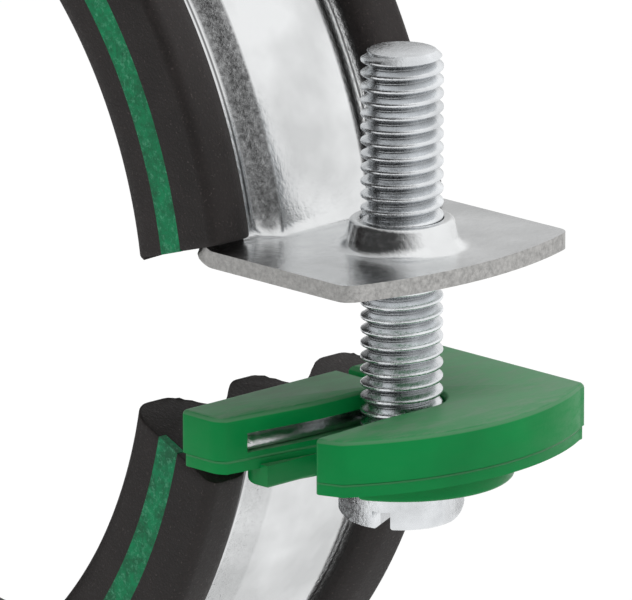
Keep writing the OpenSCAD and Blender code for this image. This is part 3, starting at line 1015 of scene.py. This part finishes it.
VIEW_TURN = math.radians(45.684)
VIEW_RISE = math.radians(15.056)
VIEW_DISTANCE = 846.331 * MM
VIEW_SCALE = 13.917 / MM
VIEW_TARGET = Vector((49.133, 0, 7.05)) * MM
VIEW_PIXEL = (401.729, 243.734)
IMAGE_SIZE = (632, 600)
FLOOR_DROP = 9 * MM
FLOOR_GLOW = 1.12
FLOOR_GLOW_SHARE = 0.8
LIGHT_AIM = (0.03, 0, 0)
LIGHTS = {"key": ((0.35, 0.45, 0.6), 0.8, 3.2), "front": ((0.1, -0.9, 0.35), 0.5, 1.6)}
BRIGHT_SIDE = Vector((0.45, 0.72, 0.53)).normalized()
BRIGHT_RANGE = (-0.08, 0.6, 0.05, 1.1)
SOFT_LIGHT = 0.42


def view_axes():
    """The camera's right, up and backward directions."""
    back = Vector((math.sin(VIEW_TURN) * math.cos(VIEW_RISE), -math.cos(VIEW_TURN) * math.cos(VIEW_RISE),
                   math.sin(VIEW_RISE)))
    right = Vector((math.cos(VIEW_TURN), math.sin(VIEW_TURN), 0))
    return right, back.cross(right), back


def add_camera():
    """The camera at the photograph's place, without shift or depth of field."""
    right, up, back = view_axes()
    aside = (VIEW_PIXEL[0] - IMAGE_SIZE[0] / 2) / VIEW_SCALE
    above = -(VIEW_PIXEL[1] - IMAGE_SIZE[1] / 2) / VIEW_SCALE
    data = bpy.data.cameras.new("camera")
    data.sensor_width = 36
    data.lens = VIEW_SCALE * VIEW_DISTANCE * data.sensor_width / IMAGE_SIZE[0]
    data.clip_start = 0.01
    data.clip_end = 50
    camera = bpy.data.objects.new("camera", data)
    bpy.context.scene.collection.objects.link(camera)
    camera.location = VIEW_TARGET + back * VIEW_DISTANCE - right * aside - up * above
    camera.rotation_euler = back.to_track_quat("Z", "Y").to_euler()
    bpy.context.scene.camera = camera


def add_light(name, place, side, power):
    """A square soft box at place that looks at the clamp, and isn't seen in reflections."""
    data = bpy.data.lights.new(name, "AREA")
    data.shape = "SQUARE"
    data.size = side
    data.energy = power
    light = bpy.data.objects.new(name, data)
    bpy.context.scene.collection.objects.link(light)
    light.visible_glossy = False
    light.location = place
    light.rotation_euler = (Vector(place) - Vector(LIGHT_AIM)).to_track_quat("Z", "Y").to_euler()


def seen_ray(tree):
    """1 for the rays that show the background: the camera's, reflected and transmitted ones."""
    path = tree.nodes.new("ShaderNodeLightPath")
    total = None
    for ray in ("Is Camera Ray", "Is Glossy Ray", "Is Transmission Ray"):
        if total is None:
            total = path.outputs[ray]
            continue
        node = tree.nodes.new("ShaderNodeMath")
        node.operation = "MAXIMUM"
        tree.links.new(total, node.inputs[0])
        tree.links.new(path.outputs[ray], node.inputs[1])
        total = node.outputs[0]
    return total, path


def build_world():
    """White for the camera, soft all round, and in reflections bright behind and dim in front."""
    world = bpy.data.worlds.new("studio")
    bpy.context.scene.world = world
    world.use_nodes = True
    tree = world.node_tree
    background = tree.nodes["Background"]
    seen, path = seen_ray(tree)
    place = tree.nodes.new("ShaderNodeTexCoord")
    toward = tree.nodes.new("ShaderNodeVectorMath")
    toward.operation = "DOT_PRODUCT"
    toward.inputs[1].default_value = BRIGHT_SIDE
    tree.links.new(place.outputs["Generated"], toward.inputs[0])
    dim = tree.nodes.new("ShaderNodeMapRange")
    for socket, value in zip(dim.inputs[1:], BRIGHT_RANGE):
        socket.default_value = value
    tree.links.new(toward.outputs["Value"], dim.inputs[0])
    white = tree.nodes.new("ShaderNodeMix")
    tree.links.new(path.outputs["Is Camera Ray"], white.inputs[0])
    tree.links.new(dim.outputs[0], white.inputs[2])
    white.inputs[3].default_value = 1.0
    strength = tree.nodes.new("ShaderNodeMix")
    tree.links.new(seen, strength.inputs[0])
    strength.inputs[2].default_value = SOFT_LIGHT
    tree.links.new(white.outputs[0], strength.inputs[3])
    background.inputs["Color"].default_value = (1, 1, 1, 1)
    tree.links.new(strength.outputs[0], background.inputs["Strength"])


def floor_material(colour):
    """A pale floor that shows white to the camera and keeps a soft shadow."""
    material = bpy.data.materials.new("pale_floor")
    material.use_nodes = True
    tree = material.node_tree
    shader = tree.nodes["Principled BSDF"]
    shader.inputs["Base Color"].default_value = (*colour, 1)
    shader.inputs["Roughness"].default_value = 0.9
    shader.inputs["Specular IOR Level"].default_value = 0.1
    glow = tree.nodes.new("ShaderNodeEmission")
    glow.inputs["Strength"].default_value = FLOOR_GLOW
    mix = tree.nodes.new("ShaderNodeMixShader")
    share = tree.nodes.new("ShaderNodeMath")
    share.operation = "MULTIPLY"
    share.inputs[1].default_value = FLOOR_GLOW_SHARE
    seen, _ = seen_ray(tree)
    tree.links.new(seen, share.inputs[0])
    tree.links.new(share.outputs[0], mix.inputs[0])
    tree.links.new(shader.outputs[0], mix.inputs[1])
    tree.links.new(glow.outputs[0], mix.inputs[2])
    tree.links.new(mix.outputs[0], tree.nodes["Material Output"].inputs["Surface"])
    return material


class CLAMP_OT_stage(bpy.types.Operator):
    """Sets up the pale floor, the soft studio light and the camera at the photograph's angle"""
    bl_idname = "clamp.stage"
    bl_label = "Stage"

    def execute(self, context):
        context.scene.view_settings.view_transform = "Standard"
        deselect_all()
        low = cad_bounds[0][2] - FLOOR_DROP
        bpy.ops.mesh.primitive_plane_add(size=6, location=(0, 0, low))
        floor = added("floor")
        bpy.ops.object.transform_apply(location=True)
        floor.data.materials.append(floor_material(context.scene.clamp_colours.floor))
        for name, (place, side, power) in LIGHTS.items():
            add_light(name, place, side, power)
        build_world()
        add_camera()
        return {"FINISHED"}


# Panel and registration

class CLAMP_PT_panel(bpy.types.Panel):
    """Lists the clamp's sizes, colours and steps"""
    bl_label = "Pipe Clamp"
    bl_idname = "CLAMP_PT_panel"
    bl_space_type = "VIEW_3D"
    bl_region_type = "UI"
    bl_category = "Pipe Clamp"

    def draw(self, context):
        for step in STEPS:
            self.layout.operator(step.bl_idname)
        for attribute, group in GROUPS.items():
            box = self.layout.box()
            box.label(text=group.__doc__)
            for key in group.__annotations__:
                box.prop(getattr(context.scene, attribute), key)


GROUPS = {
    "clamp_strip": StripSizes,
    "clamp_lining": LiningSizes,
    "clamp_screws": ScrewSizes,
    "clamp_snap": ClipSizes,
    "clamp_colours": ClampColours,
}
STEPS = (CLAMP_OT_linings, CLAMP_OT_strips, CLAMP_OT_hanger_nut, CLAMP_OT_screws, CLAMP_OT_clip,
         CLAMP_OT_stage)


def register():
    """Registers the groups, the steps and the panel."""
    for attribute, group in GROUPS.items():
        bpy.utils.register_class(group)
        setattr(bpy.types.Scene, attribute, PointerProperty(type=group))
    for step in STEPS:
        bpy.utils.register_class(step)
    bpy.utils.register_class(CLAMP_PT_panel)


def unregister():
    """Takes back what register added."""
    bpy.utils.unregister_class(CLAMP_PT_panel)
    for step in reversed(STEPS):
        bpy.utils.unregister_class(step)
    for attribute, group in reversed(GROUPS.items()):
        delattr(bpy.types.Scene, attribute)
        bpy.utils.unregister_class(group)


def main():
    """Makes every piece in order."""
    register()
    bpy.ops.clamp.linings()
    bpy.ops.clamp.strips()
    bpy.ops.clamp.hanger_nut()
    bpy.ops.clamp.screws()
    bpy.ops.clamp.clip()
    bpy.ops.clamp.stage()


if __name__ == "__main__":
    main()
